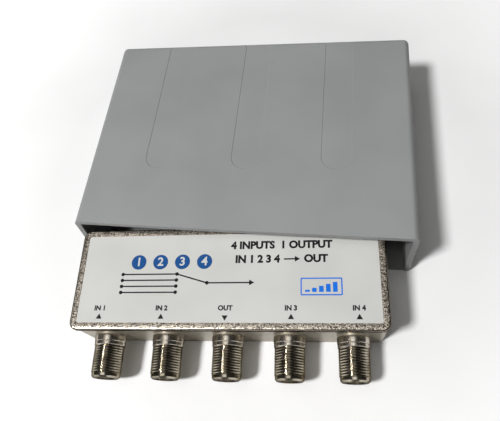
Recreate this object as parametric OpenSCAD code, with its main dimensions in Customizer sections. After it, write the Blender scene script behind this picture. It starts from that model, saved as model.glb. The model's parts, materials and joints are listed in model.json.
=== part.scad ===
// Satellite switch, four inputs to one receiver: a die-cast case with five threaded ports in a row,
// drawn part of the way out of its moulded weather hood.
// The hood lies on its back. The origin is the middle of the hood's back face, +Y points to the hood's
// closed end and +Z to its front. The case has a frame of its own, laid out flat and then set in its pose.

/* [Weather hood] */
// Length of the hood, from its mouth to its closed end
hood_l = 81.5; // [70:0.5:110]
// Thickness of the hood's walls
hood_wall = 1.8; // [1.4:0.1:3]
// Radius of the hood's outer edges
hood_edge_r = 2; // [1:0.1:3]
// Radius of the hood's inner edges
hood_inner_r = 0.8; // [0.3:0.1:1.5]
// Play between the case and each side wall of the hood
hood_play = 4.15; // [3:0.05:8]
// Headroom between the case and the hood's front wall
hood_headroom = 4.4; // [3:0.1:10]
// Width of one shallow strip on the hood's front
strip_w = 10.2; // [5:0.1:16]
// Distance between the middles of two strips
strip_pitch = 30.4; // [20:0.1:34]
// Depth of the strips
strip_depth = 0.15; // [0.1:0.05:0.8]
// Distance from the hood's mouth to the round ends of the strips
strip_start = 23; // [10:0.5:50]
// Length of the toe at the foot of each side wall, in front of the mouth
toe_l = 0.3; // [0.2:0.1:3]
// Height of the toe where it meets the mouth
toe_h = 8.2; // [5:0.1:12]
// Fall of the toe's sloped top
toe_drop = 2.6; // [1:0.1:4]
// Distance that the lip's left end lies behind a square mouth
lip_back = 1; // [0:0.1:3]
// Distance that the lip's right end lies ahead of a square mouth
lip_ahead = 1.4; // [0:0.1:3]
// Diameter of the two fixing holes in the hood's back
fixing_hole_d = 4.5; // [3:0.1:6]
// Distance between the two fixing holes
fixing_hole_pitch = 70; // [30:1:90]
// Distance from the hood's closed end to the fixing holes
fixing_hole_inset = 24; // [10:1:40]

/* [Case] */
// Length of the case, along the ports' axes
case_l = 33.6; // [31:0.1:45]
// Thickness of the case, from its back edge to its front face
case_t = 19; // [17.5:0.1:26]
// Distance from the outer ports' axes to the case's sides
end_margin = 10.8; // [9:0.1:16]
// Thickness of the case's side walls
case_wall = 2; // [1.7:0.1:3]
// Thickness of the case's front wall
front_wall = 2; // [1.5:0.1:3]
// Radius of the case's upright corners
case_corner_r = 3; // [1.4:0.1:4]
// Thickness of the rim that stands round the front
rim_t = 1.8; // [1.2:0.1:3]
// Overhang of the rim beyond the case's sides
rim_over = 0.4; // [0.2:0.05:1]
// Radius of the rim's front edge
rim_edge_r = 0.9; // [0.4:0.1:1.1]
// Width of the rim between the label and the case's edge
rim_w = 2.3; // [1.8:0.1:4]
// Depth of the recess that takes the label
label_recess = 0.2; // [0.15:0.05:0.5]
// Thickness of the label's film
label_t = 0.15; // [0.1:0.01:0.15]
// Gap round the label in its recess
label_gap = 0.15; // [0.05:0.05:0.4]
// Radius of the label's corners
label_corner_r = 0.8; // [0.3:0.1:2]
// Thickness of the back plate
plate_t = 1; // [0.6:0.1:1.5]
// Width of the ledge that the back plate seats on
plate_ledge = 1; // [0.5:0.1:1.2]
// Gap round the back plate
plate_gap = 0.1; // [0.05:0.05:0.3]
// Depth of the back plate below the case's back edge
plate_sink = 0.1; // [0.05:0.05:0.5]

/* [Ports] */
// Distance between the axes of two ports
port_pitch = 19.5; // [17:0.1:24]
// Outer diameter of the ports' thread
thread_d = 9.525; // [8.6:0.025:10.5]
// Length of the thread
thread_l = 8.7; // [6:0.1:14]
// Length of the collar at the foot of a port
collar_l = 2.1; // [1:0.1:4]
// Step from the thread out to the collar
collar_step = 0.25; // [0.15:0.05:1]
// Length of the groove between the collar and the band
groove_l = 0.2; // [0.1:0.05:0.5]
// Depth of that groove below the band
groove_depth = 0.1; // [0.05:0.05:0.2]
// Length of the plain band before the thread
band_l = 1; // [0.5:0.1:2]
// Step from the thread out to the band
band_step = 0.15; // [0.1:0.05:0.6]
// Length of the plain ring at a port's tip
tip_l = 1.3; // [0.8:0.1:2.5]
// Step from the thread in to the tip ring
tip_step = 0.3; // [0.1:0.05:0.5]
// Chamfer on the tip ring
tip_chamfer = 0.5; // [0.1:0.05:0.6]
// Step from the thread out to the cast boss round a port
boss_step = 0.1; // [0.05:0.05:2]
// Height of the cast boss
boss_h = 0.5; // [0.3:0.1:1]
// Step from the thread in to the spigot that is pressed into the case
spigot_step = 0.45; // [0.2:0.05:0.8]
// Length of the spigot that stands proud inside the case
spigot_proud = 0.4; // [0.2:0.1:0.6]
// Diameter of the insulator inside a port
insulator_d = 6; // [5:0.1:6.4]
// Length of the lip that keeps the insulator in
lip_l = 0.8; // [0.4:0.1:1.2]
// Step from the insulator in to the lip's opening
lip_step = 0.4; // [0.2:0.05:0.8]
// Thickness of the insulator's front wall
insulator_front = 1.2; // [0.8:0.1:2]
// Room between that front wall and the spring contact
contact_room = 0.3; // [0.1:0.05:0.6]
// Diameter of the hole that the cable's centre wire enters by
entry_d = 1.4; // [1.05:0.05:1.5]
// Depth of the funnel round that hole
funnel = 0.6; // [0.3:0.1:0.75]
// Outer diameter of the spring contact
contact_d = 1.6; // [1.45:0.05:2]
// Bore of the spring contact
contact_bore_d = 0.9; // [0.8:0.05:1]
// Depth of the spring contact's bore
contact_bore_l = 8; // [5:0.1:10]
// Width of the two slits that let the contact spring
slit_w = 0.2; // [0.15:0.05:0.25]
// Length of those slits
slit_l = 4.5; // [2:0.1:5]
// Diameter of the contact's tail
tail_d = 0.8; // [0.6:0.05:1]
// Length of the tail inside the case
tail_l = 4.4; // [3.5:0.1:5]
// Radial gap of the pressed and slipped fits inside a port
fit_gap = 0.05; // [0.02:0.01:0.08]

/* [Circuit board] */
// Thickness of the circuit board
board_t = 1.6; // [1:0.1:2]
// Gap between the board and the case's walls
board_gap = 0.5; // [0.3:0.1:1]
// Gap between the board and the pressed ends of the ports
board_port_gap = 0.3; // [0.2:0.1:0.6]
// Layer of solder between the board and the contacts' tails
solder_gap = 0.05; // [0.02:0.01:0.1]
// Diameter of the cast posts that carry the board
post_d = 5; // [4.2:0.1:6]
// Diameter of the board screws
screw_d = 2; // [1.6:0.1:2.4]
// Diameter of the screws' heads
screw_head_d = 4.2; // [3.6:0.1:4.5]
// Height of the screws' heads
screw_head_h = 1.5; // [1:0.1:2]
// Length of the screws' shanks
screw_l = 5; // [4:0.1:5.5]
// Radial gap of the screws in the board and the posts
screw_gap = 0.05; // [0.02:0.01:0.1]
// Room in a post beyond the screw's tip
screw_tip_room = 0.4; // [0.2:0.1:0.6]
// Distance from a post to the board's edge
post_edge = 0.5; // [0.2:0.1:1]
// Distance from the contacts' tails to the row of diodes and chokes
near_row_gap = 2.6; // [2.4:0.1:3.5]
// Distance from the board's far edge to the row of the smoothing capacitor
far_row_inset = 4; // [3.6:0.1:5]
// Distance from a port's axis to its choke
choke_shift = 5.2; // [4.6:0.1:5.6]

/* [Parts on the board] */
// Radius of a choke's flanges
choke_flange_r = 2.2; // [1.8:0.1:2.4]
// Height of one choke flange
choke_flange_h = 0.6; // [0.4:0.1:1]
// Radius of a choke's winding
choke_winding_r = 1.9; // [1.2:0.1:2.1]
// Height of a choke's winding
choke_winding_h = 2.4; // [1.5:0.1:3]
// Thickness of the bent leads
lead_t = 0.25; // [0.15:0.05:0.35]
// Gap between a moulded body and the board
standoff = 0.1; // [0.05:0.05:0.2]
// Length of a supply transistor's body
transistor_w = 6.5; // [5:0.1:7]
// Width of a supply transistor's body
transistor_l = 3.5; // [3:0.1:4]
// Height of the transistors, the regulator and the control chip
package_h = 1.6; // [1.2:0.1:2]
// Length of a switching diode's body
diode_w = 2.9; // [2.4:0.1:3.2]
// Width of a switching diode's body
diode_l = 1.3; // [1:0.1:1.6]
// Height of a switching diode's body
diode_h = 1; // [0.8:0.1:1.2]
// Length of the control chip's body
chip_w = 4.9; // [4:0.1:5.4]
// Width of the control chip's body
chip_l = 3.9; // [3.5:0.1:4.4]
// Length of the voltage regulator's body
regulator_w = 4.5; // [4:0.1:5]
// Width of the voltage regulator's body
regulator_l = 2.5; // [2:0.1:3]
// Length of the clock crystal's can
crystal_w = 7.6; // [6:0.1:8.4]
// Width of the clock crystal's can
crystal_l = 3.8; // [3:0.1:4.4]
// Height of the clock crystal's can
crystal_h = 2.6; // [1.5:0.1:3.5]
// Width of the flange round the crystal's foot
crystal_flange = 0.3; // [0.2:0.1:0.4]
// Radius of the smoothing capacitor's can
capacitor_r = 3.1; // [2.5:0.1:3.2]
// Height of the smoothing capacitor
capacitor_h = 5.4; // [4:0.1:6]
// Height of the smoothing capacitor's foot
capacitor_foot_h = 0.9; // [0.6:0.1:1.2]
// Depth of the crimp round the capacitor's can
capacitor_crimp = 0.3; // [0.1:0.1:0.5]
// Length of a small chip part
small_w = 2; // [1.6:0.1:2.2]
// Width of a small chip part
small_l = 1.25; // [0.8:0.05:1.4]
// Height of a chip capacitor
small_capacitor_h = 0.9; // [0.6:0.05:1.2]
// Height of a chip resistor
small_resistor_h = 0.55; // [0.4:0.05:0.7]
// Distance between the two rows of small chip parts
small_row_gap = 2.5; // [1.8:0.1:3]

/* [Pose of the case] */
// Distance that the case's front edge stands out of the hood's mouth
case_out = 28.5; // [20:0.5:30]
// Turn of the case in the mouth, seen from above
case_yaw = 3.1; // [0:0.1:4]
// Gap between the case's far corner and the hood's side wall
side_gap = 0.3; // [0.2:0.05:2]
// Gap between the case's back and the hood's back lip, where it leans on it
lip_gap = 0.15; // [0.1:0.05:0.5]
// Gap between the case's front foot and the table
table_gap = 0.05; // [0.02:0.01:0.1]

/* [Hidden] */
$fn = 64;
// Reach of a cutter past the face that it cuts
past = 1;
PORTS = ["input_1", "input_2", "receiver", "input_3", "input_4"];
port_count = len(PORTS);
// The receiver's port has no supply transistor and no switching diode of its own
INPUTS = [0, 1, 3, 4];

case_w = (port_count - 1) * port_pitch + 2 * end_margin;
body_w = case_w - 2 * rim_over;
body_l = case_l - 2 * rim_over;
cavity_w = body_w - 2 * case_wall;
cavity_l = body_l - 2 * case_wall;
cavity_r = max(0.4, case_corner_r - rim_over - case_wall / 2);
ceiling_z = case_t - front_wall;
wall_inner_y = rim_over + case_wall;
ledge_z = plate_sink + plate_t;
port_z = case_t / 2;
boss_y = rim_over - boss_h;

thread_r = thread_d / 2;
insulator_r = insulator_d / 2;
contact_r = contact_d / 2;
spigot_r = thread_r - spigot_step;
thread_start = collar_l + groove_l + band_l;
tip_start = thread_start + thread_l;
tip_end = tip_start + tip_l;
lip_start = tip_end - lip_l;
spigot_end = -(boss_h + case_wall + spigot_proud);
front_wall_back = lip_start - insulator_front;
contact_front = front_wall_back - contact_room;

board_z = port_z + tail_d / 2 + solder_gap;
board_y0 = wall_inner_y + spigot_proud + board_port_gap;
board_y1 = rim_over + body_l - case_wall - board_gap;
board_w = cavity_w - 2 * board_gap;
post_inset = post_d / 2 + post_edge;
// The near posts stand midway between the outer port and the next
near_post_x = 1.5 * port_pitch;
POSTS = [
    [-near_post_x, board_y0 + post_inset],
    [near_post_x, board_y0 + post_inset],
    [-board_w / 2 + post_inset, board_y1 - post_inset],
    [board_w / 2 - post_inset, board_y1 - post_inset]
];
near_row_y = wall_inner_y + spigot_proud + tail_l + near_row_gap;
far_row_y = board_y1 - far_row_inset;
mid_row_y = (near_row_y + far_row_y) / 2;

hood_w = case_w + 2 * (hood_play + hood_wall);
hood_h = case_t + hood_headroom + 2 * hood_wall;
mouth_y = -hood_l / 2;
hood_reach = max(toe_l, lip_ahead);
lip_z = hood_h - hood_wall - hood_inner_r;
closed_y = hood_l / 2;

// The case leans with its front foot on the table and its back on the hood's lip, at its nearer end
lean_reach = case_out * cos(case_yaw) - case_w / 2 * sin(case_yaw);
case_tilt = atan((hood_wall + lip_gap - table_gap) / lean_reach);
case_x = -(hood_w / 2 - hood_wall) + side_gap + case_w / 2 * cos(case_yaw)
    + case_l * cos(case_tilt) * sin(case_yaw);

function numbered(name, count) = [for (i = [1:count]) str(name, "_", i)];
function each_port(suffix) = [for (p = PORTS) str(p, "_", suffix)];
function port_x(i) = (i - (port_count - 1) / 2) * port_pitch;

// Rectangle with round corners, centred
module rounded_rectangle(w, l, r) {
    square([w - 2 * r, l], center = true);
    square([w, l - 2 * r], center = true);
    for (x = [-1, 1], y = [-1, 1])
        translate([x * (w / 2 - r), y * (l / 2 - r)]) circle(r);
}

// Rectangle with half-round ends along x, centred
module obround(w, l) {
    square([w - l, l], center = true);
    for (x = [-1, 1])
        translate([x * (w - l) / 2, 0]) circle(l / 2);
}

// Standing rectangle whose two upper corners are round, centred on x = 0
module arched_profile(w, h, r) {
    translate([-w / 2, 0]) square([w, h - r]);
    translate([-w / 2 + r, 0]) square([w - 2 * r, h]);
    for (x = [-1, 1])
        translate([x * (w / 2 - r), h - r]) circle(r);
}

// Half of a corner post's section: an upright side at x = r that rounds over into the top
module corner_profile(r, h, edge_r) {
    square([r, h - edge_r]);
    if (r > edge_r) square([r - edge_r, h]);
    translate([r - edge_r, h - edge_r]) intersection() {
        circle(edge_r);
        square(edge_r);
    }
}

// Block with round upright corners and a rounded edge round its top, standing on z = 0
module rounded_block(w, l, h, corner_r, edge_r) {
    translate([0, l / 2 - corner_r, 0]) rotate([90, 0, 0])
        linear_extrude(l - 2 * corner_r) arched_profile(w, h, edge_r);
    translate([-w / 2 + corner_r, 0, 0]) rotate([90, 0, 90])
        linear_extrude(w - 2 * corner_r) arched_profile(l, h, edge_r);
    for (x = [-1, 1], y = [-1, 1])
        translate([x * (w / 2 - corner_r), y * (l / 2 - corner_r), 0])
            rotate_extrude() corner_profile(corner_r, h, edge_r);
}

// Sets what is laid out flat in the case's own frame into the case's pose in the mouth
module in_case() {
    translate([case_x, mouth_y - case_out, table_gap])
        rotate([case_tilt, 0, case_yaw]) children();
}

// Turns a revolved port piece so that its axis points out of the case, from the boss's face
module at_port(i) {
    in_case() translate([port_x(i), boss_y, port_z]) rotate([90, 0, 0]) children();
}

// Stands a part on the board's soldered face, which looks to the case's back
module on_board(x, y) {
    in_case() translate([x, y, board_z]) mirror([0, 0, 1]) children();
}

// Puts a block that stands on z = 0 on its side, so that its top faces the hood's closed end
module along_hood(y0) {
    translate([0, y0, hood_h / 2]) rotate([-90, 0, 0]) children();
}

// What is cut away in front of one side wall, from the lip's end down to the sloped toe at the foot
module wall_end_cut(lip_y, cut_y) {
    rotate([90, 0, 90]) linear_extrude(hood_wall + past) polygon([
        [lip_y, hood_h + past],
        [lip_y, lip_z],
        [mouth_y, toe_h],
        [mouth_y - toe_l, toe_h - toe_drop],
        [mouth_y - toe_l, -past],
        [cut_y, -past],
        [cut_y, hood_h + past]
    ]);
}

module weather_hood() {
    strip_l = hood_l - strip_start;
    left_y = mouth_y + lip_back;
    right_y = mouth_y - lip_ahead;
    cut_y = mouth_y - hood_reach - past;
    color([0.57, 0.58, 0.58]) difference() {
        along_hood(mouth_y - hood_reach)
            rounded_block(hood_w, hood_h, hood_l + hood_reach, hood_edge_r, hood_edge_r);
        // Cavity that takes the case
        along_hood(cut_y)
            rounded_block(hood_w - 2 * hood_wall, hood_h - 2 * hood_wall,
                closed_y - hood_wall - cut_y, hood_inner_r, hood_inner_r);
        // Lip of the front wall, a little askew
        translate([0, 0, lip_z]) linear_extrude(hood_h) polygon([
            [-hood_w / 2 + hood_wall, left_y],
            [hood_w / 2 - hood_wall, right_y],
            [hood_w / 2 - hood_wall, cut_y],
            [-hood_w / 2 + hood_wall, cut_y]
        ]);
        // Ends of the side walls
        translate([-hood_w / 2 - past, 0, 0]) wall_end_cut(left_y, cut_y);
        translate([hood_w / 2 - hood_wall, 0, 0]) wall_end_cut(right_y, cut_y);
        // Edge of the back wall, square between the toes
        translate([-hood_w / 2 + hood_wall, cut_y, -past])
            cube([hood_w - 2 * hood_wall, mouth_y - cut_y, toe_h + past]);
        // Three strips that run out over the closed end
        for (i = [-1:1])
            translate([i * strip_pitch, 0, hood_h - strip_depth]) linear_extrude(strip_depth + past) {
                translate([0, mouth_y + strip_start + strip_w / 2]) circle(strip_w / 2);
                translate([-strip_w / 2, mouth_y + strip_start + strip_w / 2]) square([strip_w, strip_l]);
            }
        // Fixing holes in the back
        for (x = [-1, 1])
            translate([x * fixing_hole_pitch / 2, closed_y - fixing_hole_inset, -past])
                cylinder(d = fixing_hole_d, h = hood_wall + 2 * past);
    }
}

module case_shell() {
    color([0.66, 0.64, 0.6]) in_case() difference() {
        union() {
            translate([0, case_l / 2, 0]) difference() {
                union() {
                    linear_extrude(case_t - rim_t)
                        rounded_rectangle(body_w, body_l, case_corner_r - rim_over);
                    translate([0, 0, case_t - rim_t])
                        rounded_block(case_w, case_l, rim_t, case_corner_r, rim_edge_r);
                }
                translate([0, 0, -past]) linear_extrude(ceiling_z + past)
                    rounded_rectangle(cavity_w, cavity_l, cavity_r);
                translate([0, 0, -past]) linear_extrude(ledge_z + past)
                    rounded_rectangle(cavity_w + 2 * plate_ledge, cavity_l + 2 * plate_ledge, cavity_r);
                translate([0, 0, case_t - label_recess]) linear_extrude(label_recess + past)
                    rounded_rectangle(case_w - 2 * rim_w + 2 * label_gap, case_l - 2 * rim_w + 2 * label_gap,
                        label_corner_r + label_gap);
            }
            for (i = [0:port_count - 1])
                translate([port_x(i), boss_y, port_z]) rotate([-90, 0, 0])
                    cylinder(r = thread_r + boss_step, h = boss_h + case_wall / 2);
            for (p = POSTS)
                translate([p[0], p[1], board_z + board_t])
                    cylinder(d = post_d, h = ceiling_z + front_wall / 2 - board_z - board_t);
        }
        for (i = [0:port_count - 1])
            translate([port_x(i), boss_y - past, port_z]) rotate([-90, 0, 0])
                cylinder(r = spigot_r + fit_gap, h = boss_h + case_wall + 2 * past);
        for (p = POSTS)
            translate([p[0], p[1], board_z])
                cylinder(r = screw_d / 2 + screw_gap, h = screw_l + screw_tip_room);
    }
}

module back_plate() {
    w = cavity_w + 2 * plate_ledge - 2 * plate_gap;
    l = cavity_l + 2 * plate_ledge - 2 * plate_gap;
    color([0.7, 0.7, 0.7]) in_case() translate([0, case_l / 2, plate_sink])
        linear_extrude(plate_t) rounded_rectangle(w, l, cavity_r);
}

module front_label() {
    color([0.83, 0.83, 0.81]) in_case() translate([0, case_l / 2, case_t - label_recess])
        linear_extrude(label_t)
            rounded_rectangle(case_w - 2 * rim_w, case_l - 2 * rim_w, label_corner_r);
}

module circuit_board() {
    color([0.1, 0.36, 0.22]) in_case() difference() {
        translate([-board_w / 2, board_y0, board_z]) cube([board_w, board_y1 - board_y0, board_t]);
        for (p = POSTS)
            translate([p[0], p[1], board_z - past])
                cylinder(r = screw_d / 2 + screw_gap, h = board_t + 2 * past);
    }
}

module board_screws() {
    color([0.75, 0.75, 0.76]) for (p = POSTS)
        in_case() translate([p[0], p[1], board_z]) {
            cylinder(d = screw_d, h = screw_l);
            translate([0, 0, -screw_head_h]) cylinder(d = screw_head_d, h = screw_head_h);
        }
}

// Turned body of a port: spigot, collar, band, thread and tip ring round the insulator's bore
module barrel(i) {
    bore_r = insulator_r + fit_gap;
    band_r = thread_r + band_step;
    groove_r = band_r - groove_depth;
    tip_r = thread_r - tip_step;
    color([0.62, 0.58, 0.52]) at_port(i) rotate_extrude() polygon([
        [bore_r, spigot_end],
        [spigot_r, spigot_end],
        [spigot_r, 0],
        [thread_r + collar_step, 0],
        [thread_r + collar_step, collar_l],
        [groove_r, collar_l],
        [groove_r, collar_l + groove_l],
        [band_r, collar_l + groove_l],
        [band_r, thread_start],
        [thread_r, thread_start],
        [thread_r, tip_start],
        [tip_r, tip_start],
        [tip_r, tip_end - tip_chamfer],
        [tip_r - tip_chamfer, tip_end],
        [bore_r - lip_step, tip_end],
        [bore_r - lip_step, lip_start],
        [bore_r, lip_start]
    ]);
}

// Plastic core of a port, with a blind bore for the contact and a funnelled entry in front
module insulator(i) {
    hole_r = contact_r + fit_gap;
    color([0.92, 0.91, 0.87]) at_port(i) rotate_extrude() polygon([
        [hole_r, spigot_end],
        [insulator_r, spigot_end],
        [insulator_r, lip_start],
        [entry_d / 2 + funnel, lip_start],
        [entry_d / 2, lip_start - funnel],
        [entry_d / 2, front_wall_back],
        [hole_r, front_wall_back]
    ]);
}

// Slit tube that grips the cable's centre wire, with a tail to the board
module contact(i) {
    bore_end = contact_front - contact_bore_l;
    color([0.8, 0.66, 0.38]) at_port(i) difference() {
        rotate_extrude() polygon([
            [0, spigot_end - tail_l],
            [tail_d / 2, spigot_end - tail_l],
            [tail_d / 2, spigot_end],
            [contact_r, spigot_end],
            [contact_r, contact_front],
            [contact_bore_d / 2, contact_front],
            [contact_bore_d / 2, bore_end],
            [0, bore_end]
        ]);
        translate([-slit_w / 2, -contact_r - past, contact_front - slit_l])
            cube([slit_w, 2 * (contact_r + past), slit_l + past]);
    }
}

// Drum choke beside a port: a spool with its winding
module choke(i) {
    winding_top = choke_flange_h + choke_winding_h;
    side = port_x(i) > 0 ? -1 : 1;
    color([0.3, 0.24, 0.2]) on_board(port_x(i) + side * choke_shift, near_row_y) rotate_extrude()
        polygon([
            [0, 0],
            [choke_flange_r, 0],
            [choke_flange_r, choke_flange_h],
            [choke_winding_r, choke_flange_h],
            [choke_winding_r, winding_top],
            [choke_flange_r, winding_top],
            [choke_flange_r, winding_top + choke_flange_h],
            [0, winding_top + choke_flange_h]
        ]);
}

// One bent lead: a foot on the board and a riser into the body's side, pointing to +y
module lead(w, reach, rise) {
    translate([-w / 2, 0, 0]) {
        cube([w, reach, lead_t]);
        cube([w, lead_t, rise]);
        translate([0, -lead_t, rise - lead_t]) cube([w, 2 * lead_t, lead_t]);
    }
}

// A row of leads along one side of a moulded body
module lead_row(count, pitch, w, reach, rise) {
    for (k = [0:count - 1])
        translate([(k - (count - 1) / 2) * pitch, 0, 0]) lead(w, reach, rise);
}

// Moulded body, clear of the board; children 0 and 1 are the leads on its two long sides
module moulded_package(w, l, h) {
    translate([-w / 2, -l / 2, standoff]) cube([w, l, h - standoff]);
    translate([0, l / 2, 0]) children(0);
    translate([0, -l / 2, 0]) mirror([0, 1, 0]) children(1);
}

// Three leads in front and one wide tab behind
module supply_transistor(n) {
    color([0.12, 0.12, 0.13]) on_board(port_x(INPUTS[n]), mid_row_y)
        moulded_package(transistor_w, transistor_l, package_h) {
            lead_row(count = 3, pitch = 2.3, w = 0.7, reach = 1.5, rise = package_h / 2);
            lead_row(count = 1, pitch = 0, w = 3, reach = 1.5, rise = package_h / 2);
        }
}

// One lead in front and two behind
module switching_diode(n) {
    color([0.12, 0.12, 0.13]) on_board(port_x(INPUTS[n]), near_row_y)
        moulded_package(diode_w, diode_l, diode_h) {
            lead_row(count = 1, pitch = 0, w = 0.45, reach = 0.5, rise = diode_h / 2);
            lead_row(count = 2, pitch = 1.9, w = 0.45, reach = 0.5, rise = diode_h / 2);
        }
}

// Four leads on each side
module control_chip() {
    color([0.12, 0.12, 0.13]) on_board(0, mid_row_y)
        moulded_package(chip_w, chip_l, package_h) {
            lead_row(count = 4, pitch = 1.27, w = 0.42, reach = 1, rise = package_h / 2);
            lead_row(count = 4, pitch = 1.27, w = 0.42, reach = 1, rise = package_h / 2);
        }
}

// Three leads in front and a tab behind
module voltage_regulator() {
    color([0.12, 0.12, 0.13]) on_board(-port_pitch / 2, mid_row_y)
        moulded_package(regulator_w, regulator_l, package_h) {
            lead_row(count = 3, pitch = 1.5, w = 0.45, reach = 0.8, rise = package_h / 2);
            lead_row(count = 1, pitch = 0, w = 1.7, reach = 0.8, rise = package_h / 2);
        }
}

// Metal can with round ends on its flange, midway to the next port
module clock_crystal() {
    flange_w = crystal_w + 2 * crystal_flange;
    flange_l = crystal_l + 2 * crystal_flange;
    color([0.78, 0.78, 0.77]) on_board(port_pitch / 2, mid_row_y) {
        linear_extrude(crystal_flange) obround(flange_w, flange_l);
        linear_extrude(crystal_h) obround(crystal_w, crystal_l);
    }
}

// Aluminium can of the smoothing capacitor, crimped above its square foot
module smoothing_capacitor() {
    foot = 2 * (capacitor_r + capacitor_crimp / 2);
    crimp_z = capacitor_foot_h + 2 * capacitor_crimp;
    waist_r = capacitor_r - capacitor_crimp;
    color([0.72, 0.73, 0.74]) on_board(0, far_row_y) {
        translate([-foot / 2, -foot / 2, 0]) cube([foot, foot, capacitor_foot_h]);
        rotate_extrude() polygon([
            [0, capacitor_foot_h / 2],
            [capacitor_r, capacitor_foot_h / 2],
            [capacitor_r, crimp_z],
            [waist_r, crimp_z],
            [waist_r, crimp_z + capacitor_crimp],
            [capacitor_r, crimp_z + capacitor_crimp],
            [capacitor_r, capacitor_h],
            [0, capacitor_h]
        ]);
    }
}

// A row of small chip parts along the far edge, on both sides of the capacitor
module chip_row(y, h) {
    for (side = [-1, 1], k = [0:3])
        on_board(side * (port_pitch / 2 + k * port_pitch / 3), y)
            translate([-small_w / 2, -small_l / 2, 0]) cube([small_w, small_l, h]);
}

module chip_capacitors() {
    color([0.6, 0.5, 0.38]) chip_row(far_row_y + small_row_gap / 2, small_capacitor_h);
}

module chip_resistors() {
    color([0.15, 0.15, 0.16]) chip_row(far_row_y - small_row_gap / 2, small_resistor_h);
}

weather_hood();
case_shell();
back_plate();
front_label();
circuit_board();
board_screws();
for (i = [0:port_count - 1]) {
    barrel(i);
    insulator(i);
    contact(i);
    choke(i);
}
for (n = [0:len(INPUTS) - 1]) {
    supply_transistor(n);
    switching_diode(n);
}
control_chip();
clock_crystal();
voltage_regulator();
smoothing_capacitor();
chip_capacitors();
chip_resistors();
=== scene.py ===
# %% [markdown]
# # A satellite switch in its weather hood
# An outdoor aerial switch is a small die-cast case with a row of threaded ports. It slides into a grey
# plastic hood that keeps the rain off. The CAD model already has every solid in its right place, so this
# lesson loads it as a fixed frame and then dresses it, piece by piece, with finer shapes and finishes.

# %% Load the CAD frame
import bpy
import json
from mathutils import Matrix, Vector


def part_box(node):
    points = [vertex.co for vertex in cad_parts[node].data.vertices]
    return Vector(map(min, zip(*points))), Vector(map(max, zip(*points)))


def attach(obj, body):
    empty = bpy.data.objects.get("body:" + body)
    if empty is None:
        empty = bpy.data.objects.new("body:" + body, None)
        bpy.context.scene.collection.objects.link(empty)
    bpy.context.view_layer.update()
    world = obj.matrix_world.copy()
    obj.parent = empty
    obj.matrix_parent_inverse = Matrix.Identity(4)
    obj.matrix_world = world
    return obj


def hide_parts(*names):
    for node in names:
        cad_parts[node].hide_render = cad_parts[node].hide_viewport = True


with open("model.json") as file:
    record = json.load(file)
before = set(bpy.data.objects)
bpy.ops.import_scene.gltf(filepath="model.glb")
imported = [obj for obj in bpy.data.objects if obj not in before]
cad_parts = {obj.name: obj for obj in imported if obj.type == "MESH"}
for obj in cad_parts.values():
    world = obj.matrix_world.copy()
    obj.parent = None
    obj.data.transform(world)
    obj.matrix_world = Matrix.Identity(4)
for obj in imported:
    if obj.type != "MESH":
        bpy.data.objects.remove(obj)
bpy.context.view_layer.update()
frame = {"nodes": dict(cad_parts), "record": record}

# %% [markdown]
# Blender counts in metres, and this object is only a hand wide. So a millimetre gets a name of its own.

# %% Tools of the lesson
import json
import math
import bmesh
import bpy
from mathutils import Matrix, Vector
MM = 0.001
print("one millimetre is", MM, "of a Blender unit")

# %% [markdown]
# ## Camera
# A camera can be placed by eye, or worked out from straight edges of known size in the picture. The
# second way was used here: the ports' standard thread gave the scale, and the hood's corners gave the
# direction. The camera looks steeply down, turned a little left, and it was held at a tilt.

# %% Camera
IMAGE_WIDTH = 500
FOCAL_PIXELS = 529.46
SENSOR_WIDTH = 36.0
CAMERA_AT = Vector((32.37, -114.05, 173.16)) * MM
CAMERA_HEADING = math.radians(19.65)
CAMERA_DROP = math.radians(59.71)
CAMERA_ROLL = math.radians(-15.95)
camera_data = bpy.data.cameras.new("photo_camera")
camera_data.sensor_fit = "HORIZONTAL"
camera_data.sensor_width = SENSOR_WIDTH
camera_data.lens = FOCAL_PIXELS / IMAGE_WIDTH * SENSOR_WIDTH
camera = bpy.data.objects.new("photo_camera", camera_data)
heading = Matrix.Rotation(CAMERA_HEADING, 4, "Z")
drop = Matrix.Rotation(math.pi / 2 - CAMERA_DROP, 4, "X")
roll = Matrix.Rotation(CAMERA_ROLL, 4, "Z")
camera.matrix_world = Matrix.Translation(CAMERA_AT) @ heading @ drop @ roll
bpy.context.scene.collection.objects.link(camera)
bpy.context.scene.camera = camera
bpy.context.scene.view_settings.view_transform = "Standard"
print("lens", round(camera_data.lens, 2), "mm")

# %% [markdown]
# ## Shader expressions
# A material is a net of nodes. Wiring it by hand takes many lines, so one small class wraps a socket and
# lets ordinary signs such as + and * add the Math nodes. Any other node comes from its one method, which
# takes the node's type, then its settings, then the values or links of its sockets.

# %% Wires
class Wire:
    """An output socket of a node tree, on which arithmetic adds Math nodes."""

    def __init__(self, tree, socket):
        self.tree = tree
        self.socket = socket

    def node(self, kind, settings=None, sockets=None, out=0):
        """Adds a node: its settings first, then the values or links of its sockets."""
        made = self.tree.nodes.new(kind)
        for name, value in (settings or {}).items():
            setattr(made, name, value)
        for name, value in (sockets or {}).items():
            if isinstance(value, Wire):
                self.tree.links.new(value.socket, made.inputs[name])
            else:
                made.inputs[name].default_value = value
        return Wire(self.tree, made.outputs[out])

    def maths(self, operation, first, second):
        return self.node("ShaderNodeMath", {"operation": operation}, {0: first, 1: second})

    def __add__(self, other):
        return self.maths("ADD", self, other)

    def __radd__(self, other):
        return self.maths("ADD", other, self)

    def __rsub__(self, other):
        return self.maths("SUBTRACT", other, self)

    def __mul__(self, other):
        return self.maths("MULTIPLY", self, other)


print("shader signs ready: + - *")

# %% [markdown]
# Colours are written as they look on a screen, from 0 to 255, and turned into the linear values that
# Blender works with. The other helpers name what a finisher would ask for: a grain of a given size, a
# soft step from one tone to another, two tones mixed by a mask, and a relief that catches the light.

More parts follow.
